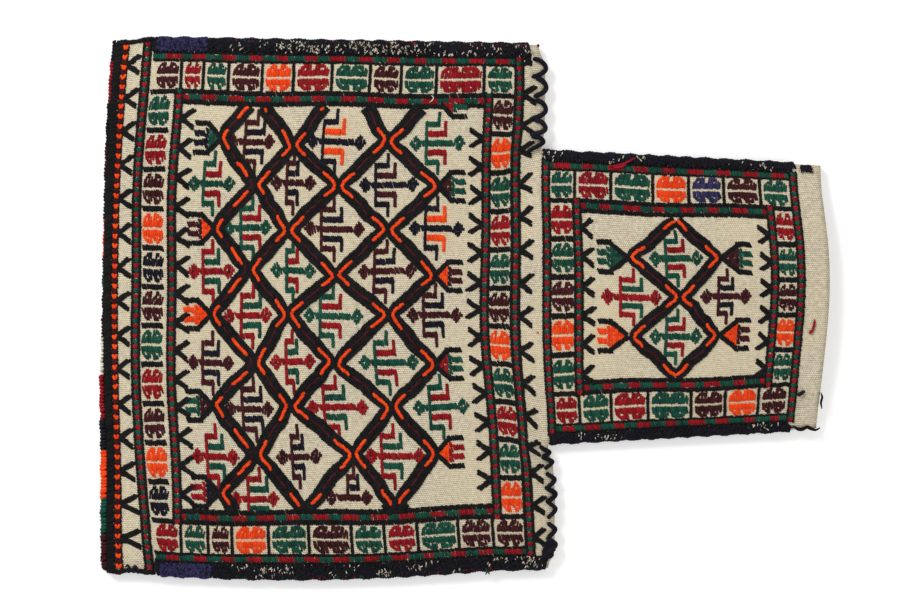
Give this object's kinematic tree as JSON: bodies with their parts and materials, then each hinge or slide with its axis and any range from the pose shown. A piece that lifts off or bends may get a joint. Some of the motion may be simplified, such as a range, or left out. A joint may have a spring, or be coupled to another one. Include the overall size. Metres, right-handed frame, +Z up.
{
  "type": "woven salt bag",
  "caption": "Flat-woven wool bag with a wide body, a narrow open neck, sewn sides and a front of wrapped yarn with a lattice of diamonds, hooked figures and block borders.",
  "frame": {"origin": "on the table, under the middle of the bag's length and width", "axes": "+X from the folded foot of the bag to the mouth of its neck, +Y across it, +Z up off its back, which lies on the table"},
  "size_m": [0.5071, 0.3768, 0.0154],
  "materials": {
    "navy": "blue-black wool yarn",
    "red": "red wool yarn",
    "black": "black wool yarn",
    "maroon": "maroon wool yarn",
    "orange": "bright orange wool yarn",
    "green": "bottle green wool yarn",
    "white": "white wool yarn",
    "violet": "violet-blue wool yarn",
    "ground": "natural cream wool, plain weave"
  },
  "bodies": {
    "root": {"edge_braid_01_navy": "navy", "edge_braid_02_red": "red", "edge_braid_03_black": "black", "edge_braid_04_maroon": "maroon", "edge_braid_05_navy": "navy", "edge_braid_06_orange": "orange", "edge_braid_07_green": "green", "edge_braid_08_maroon": "maroon", "edge_braid_09_white": "white", "edge_braid_10_red": "red", "edge_braid_11_navy": "navy", "edge_braid_12_orange": "orange", "edge_braid_13_green": "green", "edge_braid_14_maroon": "maroon", "lower_seam": "navy", "lower_seam_foot": "navy", "lower_seam_violet": "violet", "neck_lower_seam": "navy", "neck_upper_seam": "navy", "shoulder_lower_stitch": "navy", "shoulder_upper_stitch": "navy", "upper_seam": "navy", "upper_seam_foot": "navy", "upper_seam_violet": "violet", "woven_cloth": "ground"}
  },
  "joints": []
}
